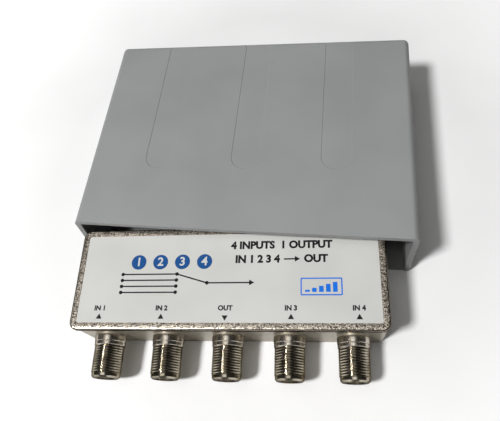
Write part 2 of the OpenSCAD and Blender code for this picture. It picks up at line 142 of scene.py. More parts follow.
# %% Finishing helpers
SCREEN_WHITE = 255
MIX_DARK, MIX_LIGHT, MIX_COLOUR = 6, 7, 2


def linear_share(level):
    """The sRGB rule for one channel."""
    share = level / SCREEN_WHITE
    return ((share + 0.055) / 1.055) ** 2.4 if share > 0.04045 else share / 12.92


def tone(red, green, blue):
    """A screen colour as Blender's linear one."""
    return (linear_share(red), linear_share(green), linear_share(blue), 1.0)


def blank_finish(name):
    """A new material and the wire of its Object coordinates."""
    material = bpy.data.materials.new(name)
    material.use_nodes = True
    coordinates = material.node_tree.nodes.new("ShaderNodeTexCoord")
    return material, Wire(material.node_tree, coordinates.outputs["Object"])


def set_finish(material, **sockets):
    """Puts numbers, colours or wires on the shader's sockets."""
    shader = material.node_tree.nodes["Principled BSDF"]
    for name, value in sockets.items():
        socket = shader.inputs[name.replace("_", " ").title().replace("Ior", "IOR")]
        if isinstance(value, Wire):
            material.node_tree.links.new(value.socket, socket)
        else:
            socket.default_value = value
    return material


def grain(place, size, detail=2.0):
    """Soft noise whose grains are about that size in metres."""
    return place.node("ShaderNodeTexNoise", {}, {"Vector": place, "Scale": 1 / size, "Detail": detail})


def step(value, low, high, start=0.0, end=1.0):
    """Goes from start to end as the value goes from low to high."""
    sockets = {"Value": value, "From Min": low, "From Max": high, "To Min": start, "To Max": end}
    return value.node("ShaderNodeMapRange", {"clamp": True}, sockets)


def two_tone(mask, dark, light):
    """Mixes two colours by a mask."""
    sockets = {0: mask, MIX_DARK: dark, MIX_LIGHT: light}
    return mask.node("ShaderNodeMix", {"data_type": "RGBA"}, sockets, out=MIX_COLOUR)


def relief(height, strength, depth):
    """A normal that follows a height, as deep as that many metres."""
    return height.node("ShaderNodeBump", {}, {"Height": height, "Strength": strength, "Distance": depth})


print("finishing helpers ready")

# %% [markdown]
# ## Moulded plastic of the hood
# The hood is injection-moulded ABS in a mid grey. The mould's fine spark texture keeps it matt, and the
# flow of the plastic leaves very faint clouds of tone. Both are noises of a real size: a third of a
# millimetre for the grain and a few centimetres for the clouds.

# %% Hood plastic
HOOD_DARK = tone(152, 154, 154)
HOOD_LIGHT = tone(158, 159, 159)
HOOD_GRAIN = 0.35 * MM
HOOD_CLOUDS = 28 * MM
HOOD_ROUGH = 0.42
HOOD_UNEVEN = 0.14
HOOD_RELIEF = (0.14, 0.03 * MM)
NARROW_RANGE = (0.35, 0.65)


def hood_plastic_finish():
    material, place = blank_finish("hood_plastic")
    fine = grain(place, HOOD_GRAIN)
    clouds = step(grain(place, HOOD_CLOUDS), *NARROW_RANGE)
    return set_finish(
        material,
        base_color=two_tone(clouds, HOOD_DARK, HOOD_LIGHT),
        roughness=HOOD_ROUGH + fine * HOOD_UNEVEN,
        normal=relief(fine, *HOOD_RELIEF),
    )


hood_plastic = hood_plastic_finish()
print("finish", hood_plastic.name)

# %% [markdown]
# ## Nickel plate on the casting
# The case is zinc, die-cast and nickel plated. The tray's sides are smooth, with the slight ripple of a
# casting. One noise drives their tone, their roughness and their relief, because one ripple causes all
# three on the real case.

# %% Tray nickel
NICKEL_DARK = tone(152, 144, 129)
NICKEL_LIGHT = tone(182, 174, 159)
WIDE_RANGE = (0.3, 0.7)
RIPPLE_SIZE = 1.4 * MM
RIPPLE_DETAIL = 4.0
TRAY_METAL = 0.6
TRAY_ROUGH = 0.3
TRAY_UNEVEN = 0.2
TRAY_RELIEF = (0.12, 0.08 * MM)


def tray_nickel_finish():
    material, place = blank_finish("tray_nickel")
    ripple = grain(place, RIPPLE_SIZE, RIPPLE_DETAIL)
    return set_finish(
        material,
        base_color=two_tone(step(ripple, *WIDE_RANGE), NICKEL_DARK, NICKEL_LIGHT),
        metallic=TRAY_METAL,
        roughness=TRAY_ROUGH + ripple * TRAY_UNEVEN,
        normal=relief(ripple, *TRAY_RELIEF),
    )


tray_nickel = tray_nickel_finish()
print("finish", tray_nickel.name)

# %% [markdown]
# The front rim has a coarse sand texture from the die, which sparkles where its grains face a light. A
# noise would be too soft for that. A cell pattern gives the grains: its distances shape them, and its
# random colours make some bright and some dull.

# %% Sand nickel
SAND_DARK = tone(66, 61, 55)
SAND_LIGHT = tone(240, 228, 212)
SAND_EDGE = tone(70, 65, 58)
SAND_GRAIN = 0.26 * MM
SHINE_RANGE = (0.2, 0.8)
SAND_METAL = 0.82
SAND_ROUGH = 0.34
SAND_UNEVEN = 0.14
SAND_RELIEF = (0.5, 0.08 * MM)


def sand_nickel_finish():
    material, place = blank_finish("sand_nickel")
    cells = {"Vector": place, "Scale": 1 / SAND_GRAIN}
    slope = place.node("ShaderNodeTexVoronoi", {}, cells)
    colours = place.node("ShaderNodeTexVoronoi", {}, cells, out="Color")
    shine = place.node("ShaderNodeSeparateColor", {}, {0: colours})
    return set_finish(
        material,
        base_color=two_tone(step(shine, *SHINE_RANGE), SAND_DARK, SAND_LIGHT),
        specular_tint=SAND_EDGE,
        metallic=SAND_METAL,
        roughness=SAND_ROUGH - shine * SAND_UNEVEN,
        normal=relief(slope, *SAND_RELIEF),
    )


sand_nickel = sand_nickel_finish()
print("finish", sand_nickel.name)

# %% [markdown]
# The rim's rounded edge is smoother than its top. It gets a finish of its own, without the cells, which
# mirrors the light as a thin line.

# %% Edge nickel
EDGE_DARK = tone(132, 125, 115)
EDGE_LIGHT = tone(166, 158, 146)
EDGE_CLOUDS = 0.6 * MM
FINE_DETAIL = 3.0
EDGE_ROUGH = 0.16
EDGE_UNEVEN = 0.12
EDGE_RELIEF = (0.15, 0.03 * MM)


def edge_nickel_finish():
    material, place = blank_finish("edge_nickel")
    clouds = grain(place, EDGE_CLOUDS, FINE_DETAIL)
    return set_finish(
        material,
        base_color=two_tone(step(clouds, *WIDE_RANGE), EDGE_DARK, EDGE_LIGHT),
        specular_tint=SAND_EDGE,
        metallic=1.0,
        roughness=EDGE_ROUGH + clouds * EDGE_UNEVEN,
        normal=relief(clouds, *EDGE_RELIEF),
    )


edge_nickel = edge_nickel_finish()
print("finish", edge_nickel.name)

# %% [markdown]
# ## Case frame
# The case lies at a slant in the hood's mouth, so its pieces are drawn square, in the case's own
# millimetres, and then turned into place. The record's thread mounts give that place exactly: the row of
# threads is the case's X, and their axis points out of its end.

# %% Case frame
THREAD_START = 3.3 * MM
BOSS_Y = -0.1 * MM
PORT_Z = 9.5 * MM
PORTS = ("input_1", "input_2", "receiver", "input_3", "input_4")
MIDDLE_PORT = len(PORTS) // 2
mounts = {mount["name"]: mount for mount in frame["record"]["mounts"]}
threads = [mounts[port + "_thread"] for port in PORTS]
THREAD_LENGTH = threads[0]["dims"]["length_mm"] * MM
CREST_R = threads[0]["dims"]["r_mm"] * MM
out_of_case = Vector(threads[0]["axis"]).normalized()
along_row = (Vector(threads[-1]["pos_m"]) - Vector(threads[0]["pos_m"])).normalized()
front_way = along_row.cross(-out_of_case)
boss_centres = [Vector(t["pos_m"]) - out_of_case * (THREAD_START + THREAD_LENGTH / 2) for t in threads]
case_turn = Matrix((along_row, -out_of_case, front_way)).transposed().to_4x4()
to_boss = Matrix.Translation((0, -BOSS_Y, -PORT_Z))
case_place = Matrix.Translation(boss_centres[MIDDLE_PORT]) @ case_turn @ to_boss
PORT_PITCH = (boss_centres[1] - boss_centres[0]).length
print("port pitch", round(PORT_PITCH / MM, 2), "mm, case front faces", [round(v, 3) for v in front_way])

# %% [markdown]
# ## From bmesh to a piece
# Every piece is drawn in a bmesh and ends as an object at the origin, with its place in its mesh. Smooth
# shading with sharp edges above a given angle keeps flats flat and rounds round, and weighted normals
# keep a wide flat face from bending towards its small bevels.

# %% Piece helpers
SHARP_ANGLE = math.radians(38)
STRAIGHT = 0.999
ROUNDING = 7
Z_AXIS = 2
UP, DOWN = 1, -1


def make_piece(name, bm, body, slot, *finishes):
    """Turns a bmesh into a piece that rides on a body."""
    mesh = bpy.data.meshes.new(name)
    bm.to_mesh(mesh)
    bm.free()
    mesh.shade_smooth()
    mesh.set_sharp_from_angle(angle=SHARP_ANGLE)
    for finish in finishes:
        mesh.materials.append(finish)
    piece = bpy.data.objects.new(name, mesh)
    bpy.context.scene.collection.objects.link(piece)
    weighted = piece.modifiers.new("flat_faces", "WEIGHTED_NORMAL")
    weighted.keep_sharp = True
    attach(piece, body)
    print(name, len(mesh.vertices), "vertices", len(mesh.polygons), "faces")
    return piece


def block(bm, low, high):
    """A box between two corners; returns its vertices."""
    low = Vector(low)
    high = Vector(high)
    verts = bmesh.ops.create_cube(bm, size=1.0)["verts"]
    bmesh.ops.scale(bm, vec=high - low, verts=verts)
    bmesh.ops.translate(bm, vec=(low + high) / 2, verts=verts)
    return verts


def round_off(bm, edges, radius, segments):
    """Rounds edges with the settings that the editor's bevel would have."""
    bmesh.ops.bevel(
        bm,
        geom=list(edges),
        offset=radius,
        offset_type="OFFSET",
        segments=segments,
        profile=0.5,
        affect="EDGES",
        material=-1,
        clamp_overlap=True,
    )


def along(edge, axis):
    """True where an edge runs along that axis."""
    way = (edge.verts[1].co - edge.verts[0].co).normalized()
    return abs(way[axis]) > STRAIGHT


def furthest_face(bm, axis, sign):
    """The flat face that lies furthest along an axis, and the widest of those that lie as far."""
    def place_and_area(face):
        place = round(sign * face.calc_center_median()[axis], ROUNDING)
        return place, face.calc_area()

    return max(bm.faces, key=place_and_area)


def push_face(bm, face, way):
    """Extrudes one face and moves it."""
    moved = bmesh.ops.extrude_discrete_faces(bm, faces=[face])["faces"][0]
    bmesh.ops.translate(bm, vec=Vector(way), verts=moved.verts)
    return moved


print("piece helpers ready")

# %% [markdown]
# ## Weather hood
# The real hood is one moulding: five walls of even thickness, rounded outside, with three shallow strips
# sunk into the front and a small toe at the foot of each side wall. It could be built wall by wall. It is
# closer to the mould to round one block outside, round another for the core, and take the core away.

# %% Hood blocks
HOOD_WALL = 1.8 * MM
HOOD_EDGE_R = 2.0 * MM
HOOD_INNER_R = 0.8 * MM
EDGE_STEPS = 8
CORE_STEPS = 4
LIP_AHEAD = 1.4 * MM
TOE_LENGTH = 0.3 * MM
CUT_MARGIN = 5 * MM
hood_low, hood_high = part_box("weather_hood")
mouth_y = hood_low.y + max(TOE_LENGTH, LIP_AHEAD)


def rounded_block(low, high, radius, segments):
    """A block whose edges are round, apart from those of its face towards the mouth."""
    bm = bmesh.new()
    block(bm, low, high)
    near = min(vert.co.y for vert in bm.verts)
    inner = [e for e in bm.edges if any(v.co.y > near + radius for v in e.verts)]
    round_off(bm, inner, radius, segments)
    return bm


def loose_object(name, bm):
    """An object that only serves to shape another one."""
    mesh = bpy.data.meshes.new(name)
    bm.to_mesh(mesh)
    bm.free()
    made = bpy.data.objects.new(name, mesh)
    bpy.context.scene.collection.objects.link(made)
    return made


def carve(target, tool):
    """Takes the tool's volume out of the target, and clears the tool away."""
    cut = target.modifiers.new("cut", "BOOLEAN")
    cut.operation = "DIFFERENCE"
    cut.solver = "EXACT"
    cut.object = tool
    graph = bpy.context.evaluated_depsgraph_get()
    carved = bpy.data.meshes.new_from_object(target.evaluated_get(graph))
    target.modifiers.clear()
    target.data = carved
    bpy.data.objects.remove(tool)


outer_block = rounded_block(hood_low, hood_high, HOOD_EDGE_R, EDGE_STEPS)
hood_form = loose_object("hood_form", outer_block)
core_low = Vector((hood_low.x + HOOD_WALL, hood_low.y - CUT_MARGIN, hood_low.z + HOOD_WALL))
core_high = hood_high - Vector((HOOD_WALL, HOOD_WALL, HOOD_WALL))
core_block = rounded_block(core_low, core_high, HOOD_INNER_R, CORE_STEPS)
carve(hood_form, loose_object("hood_core", core_block))
print("hood shell", len(hood_form.data.polygons), "faces")

# %% [markdown]
# The mouth is not quite square. The lip of the front wall runs a little askew, further back at the left
# than at the right, and it bows a little at its middle. The end of each side wall leans from the lip's
# end to a small sloped toe at its foot. One cutter is drawn in plan for the lip, and one is drawn from the
# side for each wall's end. A plain block takes the floor back to the mouth.

# %% Hood mouth
LIP_BACK = 1.5 * MM
LIP_MIDDLE = 0.2 * MM
TOE_HEIGHT = 8.2 * MM
TOE_DROP = 2.6 * MM
CUT_LAP = 0.2 * MM
lip_z = hood_high.z - HOOD_WALL - HOOD_INNER_R
cut_y = hood_low.y - CUT_MARGIN
left_lip = mouth_y + LIP_BACK
middle_lip = mouth_y - LIP_MIDDLE
right_lip = mouth_y - LIP_AHEAD


def prism(outline, depth):
    """A solid between a flat outline and its copy further along."""
    bm = bmesh.new()
    face = bm.faces.new([bm.verts.new(point) for point in outline])
    grown = bmesh.ops.extrude_face_region(bm, geom=[face])["geom"]
    far_verts = [item for item in grown if isinstance(item, bmesh.types.BMVert)]
    bmesh.ops.translate(bm, vec=depth, verts=far_verts)
    bmesh.ops.recalc_face_normals(bm, faces=bm.faces)
    return bm


def lip_cutter():
    left, right = hood_low.x - CUT_MARGIN, hood_high.x + CUT_MARGIN
    left_in, right_in = hood_low.x + HOOD_WALL, hood_high.x - HOOD_WALL
    outline = [
        (left, left_lip), (left_in, left_lip), (0, middle_lip), (right_in, right_lip),
        (right, right_lip), (right, cut_y), (left, cut_y),
    ]
    return prism([(x, y, lip_z) for x, y in outline], (0, 0, CUT_MARGIN + hood_high.z - lip_z))


def wall_end_cutter(start, lip_y):
    toe_y = mouth_y - TOE_LENGTH
    toe_z = hood_low.z + TOE_HEIGHT
    below = hood_low.z - CUT_MARGIN
    outline = [
        (lip_y, lip_z), (mouth_y, toe_z), (toe_y, toe_z - TOE_DROP), (toe_y, below),
        (cut_y, below), (cut_y, lip_z + CUT_LAP), (lip_y - CUT_LAP, lip_z + CUT_LAP),
    ]
    return prism([(start, y, z) for y, z in outline], (CUT_MARGIN + HOOD_WALL, 0, 0))


def floor_cutter():
    bm = bmesh.new()
    low = (hood_low.x + HOOD_WALL, hood_low.y - CUT_MARGIN, hood_low.z - CUT_MARGIN)
    floor_top = hood_low.z + HOOD_WALL + HOOD_INNER_R + CUT_LAP
    block(bm, low, (hood_high.x - HOOD_WALL, mouth_y, floor_top))
    return bm


carve(hood_form, loose_object("lip_cutter", lip_cutter()))
carve(hood_form, loose_object("left_cutter", wall_end_cutter(hood_low.x - CUT_MARGIN, left_lip)))
carve(hood_form, loose_object("right_cutter", wall_end_cutter(hood_high.x - HOOD_WALL, right_lip)))
carve(hood_form, loose_object("floor_cutter", floor_cutter()))
print("hood with its mouth", len(hood_form.data.polygons), "faces")

# %% [markdown]
# A moulded lip is never razor sharp. The mouth's edges get a small round here, before the strips are cut,
# while the mesh is still simple. The round is what draws the thin light line along the lip.

# %% Hood lip
LIP_R = 0.3 * MM
LIP_SEGMENTS = 3
FLAT_ANGLE = math.radians(0.1)
FOOT_HEIGHT = 3 * MM
MERGE_GAP = 0.001 * MM
SLACK = 0.01 * MM
lip_bm = bmesh.new()
lip_bm.from_mesh(hood_form.data)
bmesh.ops.remove_doubles(lip_bm, verts=lip_bm.verts, dist=MERGE_GAP)
bmesh.ops.dissolve_limit(lip_bm, angle_limit=FLAT_ANGLE, verts=lip_bm.verts, edges=lip_bm.edges)
lip_reach = left_lip + SLACK
mouth_edges = [e for e in lip_bm.edges if all(v.co.y < lip_reach for v in e.verts)]
lip_edges = [
    e for e in mouth_edges
    if e.calc_face_angle(0) > SHARP_ANGLE and max(v.co.z for v in e.verts) > hood_low.z + FOOT_HEIGHT
]
round_off(lip_bm, lip_edges, LIP_R, LIP_SEGMENTS)
lip_bm.to_mesh(hood_form.data)
lip_bm.free()
print("lip edges rounded", len(lip_edges))

# %% [markdown]
# Each strip on the front is a shallow slot with one round end, which runs out over the closed end. Its
# cutter is a bar whose two near corners are rounded by half its width. Its foot is sloped all round,
# because a mould needs that slope to let go, and the slope is what shows the strip's end as a faint line.
# The two screw holes in the back come from plain round cutters.

# %% Hood strips and screw holes
STRIP_WIDTH = 10.2 * MM
STRIP_PITCH = 30.4 * MM
STRIP_DEPTH = 0.15 * MM
STRIP_START = 23 * MM
STRIP_SLOPE = 0.2 * MM
SLOPE_STEPS = 1
ROUND_STEPS = 32
HOLE_CUT = 4 * HOOD_WALL
HALVES = (-0.5, 0.5)


def strip_cutter(middle):
    bm = bmesh.new()
    low = (middle - STRIP_WIDTH / 2, mouth_y + STRIP_START, hood_high.z - STRIP_DEPTH)
    block(bm, low, (middle + STRIP_WIDTH / 2, hood_high.y + CUT_MARGIN, hood_high.z + CUT_MARGIN))
    near = [e for e in bm.edges if along(e, Z_AXIS) and e.verts[0].co.y < hood_high.y]
    round_off(bm, near, STRIP_WIDTH / 2 - SLACK, ROUND_STEPS // 2)
    round_off(bm, furthest_face(bm, Z_AXIS, DOWN).edges, STRIP_SLOPE, SLOPE_STEPS)
    return bm


def screw_cutter(middle, radius):
    bm = bmesh.new()
    bmesh.ops.create_cone(
        bm, cap_ends=True, segments=ROUND_STEPS, radius1=radius, radius2=radius, depth=HOLE_CUT,
        matrix=Matrix.Translation(middle),
    )
    return bm


for place_in_row in (-1, 0, 1):
    carve(hood_form, loose_object("strip_cutter", strip_cutter(place_in_row * STRIP_PITCH)))
hood_screws = mounts["hood_screws"]
screw_spacing = hood_screws["dims"]["spacing_x_mm"] * MM
screw_hole_r = hood_screws["dims"]["hole_r_mm"] * MM
for side in HALVES:
    screw_at = Vector(hood_screws["pos_m"]) + Vector((side * screw_spacing, 0, 0))
    carve(hood_form, loose_object("screw_cutter", screw_cutter(screw_at, screw_hole_r)))
print("hood with strips", len(hood_form.data.polygons), "faces")

# %% [markdown]
# The cuts can leave vertices on top of each other, so these are merged before the form becomes a piece.
# The piece then stands in for the CAD hood.

# %% Hood piece
hood_bm = bmesh.new()
hood_bm.from_mesh(hood_form.data)
bmesh.ops.remove_doubles(hood_bm, verts=hood_bm.verts, dist=MERGE_GAP)
bpy.data.objects.remove(hood_form)
hood = make_piece("moulded_hood", hood_bm, "hood", "hood_plastic", hood_plastic)
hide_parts("weather_hood")

# %% [markdown]
# ## Die-cast case
# The case is one casting: a tray with a slightly wider rim round its front, a shallow seat for the label
# and a ledge for the back plate. The rim is a bead: its edge is rounded and its top is slightly crowned.
# One face is extruded and inset again and again, from the tray's body up over the rim and down into the
# seat, so that the whole casting is a single closed skin. Each face of the rim then gets its finish by
# its tilt, smooth where it is round and sandy where it is flat.

# %% Case casting
CASE_WIDTH = 99.6 * MM
CASE_LENGTH = 33.6 * MM
CASE_THICK = 19 * MM
CASE_CORNER_R = 3 * MM
RIM_THICK = 1.8 * MM
RIM_OVER = 0.4 * MM
RIM_EDGE_R = 0.6 * MM
RIM_WIDTH = 2.3 * MM
RIM_CROWN = 0.06 * MM
ROUND_TILT = math.radians(14)
SEAT_DEPTH = 0.2 * MM
LABEL_GAP = 0.15 * MM
LEDGE = 1.0 * MM
PLATE_SEAT = 1.1 * MM
BASE_R = 0.3 * MM
CORNER_STEPS = 10
BASE_STEPS = 3
RIM_STEPS = 8
TRAY_FINISH, SAND_FINISH, EDGE_FINISH = 0, 1, 2
AXIS = Vector((0, 0, 1))


def case_casting():
    bm = bmesh.new()
    low = (-CASE_WIDTH / 2 + RIM_OVER, RIM_OVER, 0)
    high = (CASE_WIDTH / 2 - RIM_OVER, CASE_LENGTH - RIM_OVER, CASE_THICK - RIM_THICK)
    block(bm, low, high)
    upright = [e for e in bm.edges if along(e, Z_AXIS)]
    round_off(bm, upright, CASE_CORNER_R - RIM_OVER, CORNER_STEPS)
    round_off(bm, furthest_face(bm, Z_AXIS, DOWN).edges, BASE_R, BASE_STEPS)
    rim = push_face(bm, furthest_face(bm, Z_AXIS, UP), (0, 0, 0))
    middle = Matrix.Translation((0, -CASE_LENGTH / 2, 0))
    wider = (CASE_WIDTH / (CASE_WIDTH - 2 * RIM_OVER), CASE_LENGTH / (CASE_LENGTH - 2 * RIM_OVER), 1)
    bmesh.ops.scale(bm, vec=wider, space=middle, verts=rim.verts)
    rim = push_face(bm, rim, (0, 0, RIM_THICK - RIM_CROWN))
    round_off(bm, rim.edges, RIM_EDGE_R, RIM_STEPS)
    front = furthest_face(bm, Z_AXIS, UP)
    half_width = (RIM_WIDTH - LABEL_GAP - RIM_EDGE_R) / 2
    for rise in (RIM_CROWN, -RIM_CROWN):
        bmesh.ops.inset_region(bm, faces=[front], thickness=half_width, depth=rise)
    push_face(bm, front, (0, 0, RIM_CROWN - SEAT_DEPTH))
    back = furthest_face(bm, Z_AXIS, DOWN)
    bmesh.ops.inset_region(bm, faces=[back], thickness=LEDGE - BASE_R)
    push_face(bm, back, (0, 0, PLATE_SEAT))
    rim_foot = CASE_THICK - RIM_THICK - SLACK
    bm.normal_update()
    for face in bm.faces:
        face.material_index = TRAY_FINISH
        if min(v.co.z for v in face.verts) > rim_foot:
            rounded = face.normal.angle(AXIS) > ROUND_TILT
            face.material_index = EDGE_FINISH if rounded else SAND_FINISH
    return bm


casting = case_casting()
print("casting", len(casting.faces), "faces")

# %% [markdown]
# A low round boss stands under each port, a little narrower than the port's collar, so that a dark line
# runs round the collar's foot. Each boss is a short cylinder, sunk a little into the end wall.

# %% Port bosses
BOSS_R = CREST_R + 0.1 * MM
BOSS_HEIGHT = 0.5 * MM
BOSS_SUNK = 0.3 * MM
facing_out = Matrix.Rotation(math.pi / 2, 4, "X")
for number in range(len(PORTS)):
    depth = BOSS_HEIGHT + BOSS_SUNK
    centre = Vector(((number - MIDDLE_PORT) * PORT_PITCH, BOSS_Y + depth / 2, PORT_Z))
    bmesh.ops.create_cone(
        casting, cap_ends=True, segments=ROUND_STEPS * 2, radius1=BOSS_R, radius2=BOSS_R, depth=depth,
        matrix=Matrix.Translation(centre) @ facing_out,
    )
bmesh.ops.transform(casting, matrix=case_place, verts=casting.verts)
case_finishes = (tray_nickel, sand_nickel, edge_nickel)
cast_case = make_piece("cast_case", casting, "switch", "case_metal", *case_finishes)
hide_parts("case_shell")

# %% [markdown]
# ## Turned nickel of the ports
# The ports are turned from brass and nickel plated. The tool leaves rings so fine that they only show as
# a soft streak in the shine. A noise of one dimension, read along the ports' axis, gives such rings.

# %% Port nickel
PORT_DARK = tone(134, 126, 110)
PORT_LIGHT = tone(190, 182, 166)
PORT_EDGE = tone(84, 79, 70)
TOOL_MARKS = 0.12 * MM
PORT_CLOUDS = 2.2 * MM
PORT_ROUGH = 0.1
PORT_UNEVEN = 0.1
PORT_RELIEF = (0.15, 0.01 * MM)


def distance_along(place, way):
    """How far a place lies in a direction."""
    return place.node("ShaderNodeVectorMath", {"operation": "DOT_PRODUCT"}, {0: place, 1: way}, out="Value")


def port_nickel_finish():
    material, place = blank_finish("port_nickel")
    marks = {"W": distance_along(place, out_of_case), "Scale": 1 / TOOL_MARKS}
    rings = place.node("ShaderNodeTexNoise", {"noise_dimensions": "1D"}, marks)
    clouds = step(grain(place, PORT_CLOUDS, FINE_DETAIL), *WIDE_RANGE)
    return set_finish(
        material,
        base_color=two_tone(clouds, PORT_DARK, PORT_LIGHT),
        specular_tint=PORT_EDGE,
        metallic=1.0,
        roughness=PORT_ROUGH + rings * PORT_UNEVEN,
        normal=relief(rings, *PORT_RELIEF),
    )


port_nickel = port_nickel_finish()
print("finish", port_nickel.name)

# %% [markdown]
# The collar and the band at a port's foot are paler than the thread, and a little mottled. Rings would not
# give that, so a soft grain of a third of a millimetre takes their place.

# %% Collar nickel
COLLAR_DARK = tone(176, 168, 156)
COLLAR_LIGHT = tone(232, 224, 212)
COLLAR_GRAIN = 0.3 * MM
COLLAR_ROUGH = 0.16
COLLAR_UNEVEN = 0.12
COLLAR_RELIEF = (0.2, 0.06 * MM)


def collar_nickel_finish():
    material, place = blank_finish("collar_nickel")
    speckle = grain(place, COLLAR_GRAIN, FINE_DETAIL)
    return set_finish(
        material,
        base_color=two_tone(step(speckle, *NARROW_RANGE), COLLAR_DARK, COLLAR_LIGHT),
        specular_tint=PORT_EDGE,
        metallic=1.0,
        roughness=COLLAR_ROUGH + speckle * COLLAR_UNEVEN,
        normal=relief(speckle, *COLLAR_RELIEF),
    )


collar_nickel = collar_nickel_finish()
print("finish", collar_nickel.name)

# %% [markdown]
# ## Threaded ports
# A port is a lathe job: a round collar, a groove, a band, a fine thread and a chamfered tip with an
# inward lip. A thread could be a stack of rings, but then it would not climb. Here it is a true helix:
# one tooth's profile is spun many times round while it advances, and then trimmed flat at both ends. A
# plated thread has soft crests and roots, so the tooth is one wave of a cosine. Each wave mirrors the lamp
# once, and that is what breaks the bright line along a port into ticks.

# %% Thread
THREAD_PITCH = 25.4 / 32 * MM
THREAD_DEPTH = 0.26 * MM
TOOTH_STEPS = 16
SPIN_STEPS = 48
SPARE_TURNS = 2
CENTRE = Vector((0, 0, 0))


def profile_line(bm, points):
    """Joins points of radius and height into a line in the XZ plane."""
    verts = [bm.verts.new((radius, 0, height)) for radius, height in points]
    return verts + [bm.edges.new(pair) for pair in zip(verts, verts[1:])]


def turned(bm, points):
    """Spins a profile once round the axis."""
    line = profile_line(bm, points)
    bmesh.ops.spin(
        bm, geom=line, cent=CENTRE, axis=AXIS, angle=2 * math.pi, steps=SPIN_STEPS, use_merge=True,
    )


def threaded(bm, start, end):
    """Spins one tooth up a helix and trims it between two heights."""
    turns = math.ceil((end - start) / THREAD_PITCH) + SPARE_TURNS
    foot = start - SPARE_TURNS * THREAD_PITCH
    shares = [number / TOOTH_STEPS for number in range(TOOTH_STEPS + 1)]
    sunk = [THREAD_DEPTH * (1 + math.cos(2 * math.pi * share)) / 2 for share in shares]
    tooth = [(CREST_R - depth, foot + share * THREAD_PITCH) for depth, share in zip(sunk, shares)]
    line = profile_line(bm, tooth)
    climb = AXIS * THREAD_PITCH / SPIN_STEPS
    bmesh.ops.spin(
        bm, geom=line, cent=CENTRE, axis=AXIS, dvec=climb,
        angle=2 * math.pi * turns, steps=SPIN_STEPS * turns,
    )
    bmesh.ops.remove_doubles(bm, verts=bm.verts, dist=MERGE_GAP)
    for height, outside in ((start, -AXIS), (end, AXIS)):
        whole = bm.verts[:] + bm.edges[:] + bm.faces[:]
        bmesh.ops.bisect_plane(bm, geom=whole, plane_co=AXIS * height, plane_no=outside, clear_outer=True)


print("thread pitch", round(THREAD_PITCH / MM, 3), "mm")

# %% [markdown]
# The plain parts of a port are a profile of radius and height, spun once round the axis. They could just
# overlap the thread, but then the port would be no closed solid. So they end a little short of it, and a
# ring of faces bridges each gap. All five ports are alike, so one barrel is made and then copied.

# %% Port barrels
COLLAR_R = CREST_R + 0.25 * MM
COLLAR_END = 2.1 * MM
GROOVE_R = CREST_R + 0.05 * MM
GROOVE_END = 2.3 * MM
BAND_R = CREST_R + 0.15 * MM
TIP_R = CREST_R - 0.3 * MM
TIP_END = 13.3 * MM
TIP_CHAMFER = 0.5 * MM
BORE_R = 3.05 * MM
LIP_BORE_R = 2.65 * MM
LIP_THICK = 0.8 * MM
EDGE = 0.12 * MM
THREAD_FINISH, COLLAR_FINISH = 0, 1


def rim_loop(bm, height):
    """The open edges that lie at a height."""
    open_edges = [e for e in bm.edges if e.is_boundary]
    return [e for e in open_edges if all(abs(v.co.z - height) < SLACK for v in e.verts)]


def port_barrel():
    """A barrel that stands on its collar, with its axis up."""
    bm = bmesh.new()
    thread_end = THREAD_START + THREAD_LENGTH
    threaded(bm, THREAD_START + EDGE, thread_end - EDGE)
    turned(bm, [
        (BORE_R, 0), (COLLAR_R - EDGE, 0), (COLLAR_R, EDGE), (COLLAR_R, COLLAR_END - EDGE),
        (COLLAR_R - EDGE, COLLAR_END), (GROOVE_R, COLLAR_END), (GROOVE_R, GROOVE_END),
        (BAND_R - EDGE, GROOVE_END), (BAND_R, GROOVE_END + EDGE), (BAND_R, THREAD_START - EDGE),
        (BAND_R - EDGE, THREAD_START),
    ])
    turned(bm, [
        (TIP_R, thread_end), (TIP_R, TIP_END - TIP_CHAMFER), (TIP_R - TIP_CHAMFER, TIP_END),
        (LIP_BORE_R, TIP_END), (LIP_BORE_R, TIP_END - LIP_THICK), (BORE_R, TIP_END - LIP_THICK), (BORE_R, 0),
    ])
    for low, high in ((THREAD_START, THREAD_START + EDGE), (thread_end - EDGE, thread_end)):
        bmesh.ops.bridge_loops(bm, edges=rim_loop(bm, low) + rim_loop(bm, high))
    bmesh.ops.remove_doubles(bm, verts=bm.verts, dist=MERGE_GAP)
    bmesh.ops.recalc_face_normals(bm, faces=bm.faces)
    for face in bm.faces:
        below = face.calc_center_median().z < THREAD_START
        face.material_index = COLLAR_FINISH if below else THREAD_FINISH
    return bm


pattern = port_barrel()
print("open edges", sum(e.is_boundary for e in pattern.edges))
port_turn = Matrix((along_row, out_of_case.cross(along_row), out_of_case)).transposed().to_4x4()
port_finishes = (port_nickel, collar_nickel)
for port, boss in zip(PORTS, boss_centres):
    barrel = pattern.copy()
    bmesh.ops.transform(barrel, matrix=Matrix.Translation(boss) @ port_turn, verts=barrel.verts)
    piece = make_piece(port + "_threaded_barrel", barrel, "switch", "port_metal", *port_finishes)
    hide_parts(port + "_barrel")
pattern.free()

# %% [markdown]
# ## Label
# A pale plastic film fills the seat in the front. It is a thin block with round corners, and its top edge
# is eased so that it catches a thin light. The film is satin: a faint grain breaks up its shine.

# %% Label film
LABEL_THICK = 0.15 * MM
LABEL_CORNER_R = 0.8 * MM
LABEL_EASE = 0.04 * MM
LABEL_CORNER_STEPS = 6
LABEL_EASE_STEPS = 2
FILM_DARK = tone(208, 208, 204)
FILM_LIGHT = tone(215, 215, 211)
FILM_GRAIN = 0.25 * MM
FILM_CLOUDS = 18 * MM
FILM_ROUGH = 0.34
FILM_UNEVEN = 0.12
FILM_RELIEF = (0.06, 0.01 * MM)


